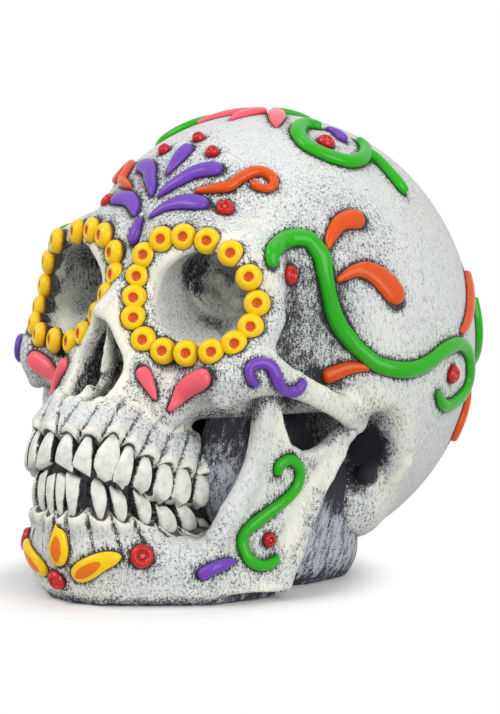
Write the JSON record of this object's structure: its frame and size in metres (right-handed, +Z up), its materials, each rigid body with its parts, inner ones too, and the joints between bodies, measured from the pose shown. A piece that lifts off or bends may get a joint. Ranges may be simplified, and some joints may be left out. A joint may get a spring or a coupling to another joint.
{
  "type": "sugar skull",
  "caption": "Life-size painted skull ornament with a fixed lower jaw, rows of teeth and raised bead, petal and scroll trim; it stands on a flat underside.",
  "frame": {"origin": "on the table under the middle of the object's box", "axes": "+Z up, the face looks along -Y, +X is the skull's left side"},
  "size_m": [0.16, 0.2094, 0.1777],
  "materials": {
    "bone": "off-white dry-brushed over a grey-black wash",
    "core": "grey brushed wash",
    "teeth": "off-white with dark washed gaps",
    "yellow_paint": "satin hand-painted yellow with orange centres",
    "orange_paint": "satin hand-painted orange",
    "purple_paint": "satin hand-painted purple",
    "green_paint": "satin hand-painted green",
    "pink_paint": "satin hand-painted pink",
    "red_gem": "gloss red with a small clear stone"
  },
  "bodies": {
    "root": {"cranium": "bone", "lower_jaw": "bone", "support_core": "core", "upper_tooth_row": "teeth", "lower_tooth_row": "teeth", "eye_bead_ring_left": "yellow_paint", "eye_bead_ring_right": "yellow_paint", "forehead_petal_centre": "purple_paint", "forehead_petal_long_left": "purple_paint", "forehead_petal_long_right": "purple_paint", "forehead_petal_low_left": "purple_paint", "forehead_petal_low_right": "purple_paint", "forehead_drop": "purple_paint", "forehead_gem_top": "red_gem", "forehead_gem_inner_left": "red_gem", "forehead_gem_inner_right": "red_gem", "forehead_gem_side_left": "red_gem", "forehead_gem_side_right": "red_gem", "forehead_curl_left": "orange_paint", "forehead_curl_right": "orange_paint", "cheek_petal_inner_left": "pink_paint", "cheek_petal_inner_right": "pink_paint", "cheek_petal_outer_left": "pink_paint", "cheek_petal_outer_right": "pink_paint", "cheekbone_squiggle_left": "purple_paint", "cheekbone_squiggle_right": "purple_paint", "temple_scroll_left": "green_paint", "temple_scroll_right": "green_paint", "temple_gem_front_left": "red_gem", "temple_gem_front_right": "red_gem", "temple_gem_rear_left": "red_gem", "temple_gem_rear_right": "red_gem", "temple_leaf_upper_left": "orange_paint", "temple_leaf_upper_right": "orange_paint", "temple_leaf_middle_left": "orange_paint", "temple_leaf_middle_right": "orange_paint", "temple_leaf_lower_left": "orange_paint", "temple_leaf_lower_right": "orange_paint", "back_leaf_upper_left": "orange_paint", "back_leaf_upper_right": "orange_paint", "back_leaf_lower_left": "orange_paint", "back_leaf_lower_right": "orange_paint", "back_scroll": "green_paint", "crown_flower": "pink_paint", "crown_scroll_left": "green_paint", "crown_scroll_right": "green_paint", "crown_gem_left": "red_gem", "crown_gem_right": "red_gem", "jaw_scroll_left": "green_paint", "jaw_scroll_right": "green_paint", "jaw_gem_left": "red_gem", "jaw_gem_right": "red_gem", "jaw_drop_left": "purple_paint", "jaw_drop_right": "purple_paint", "chin_petal_top": "yellow_paint", "chin_petal_side_left": "yellow_paint", "chin_petal_side_right": "yellow_paint", "chin_gem_centre": "red_gem", "chin_gem_side_left": "red_gem", "chin_gem_side_right": "red_gem"}
  },
  "joints": []
}
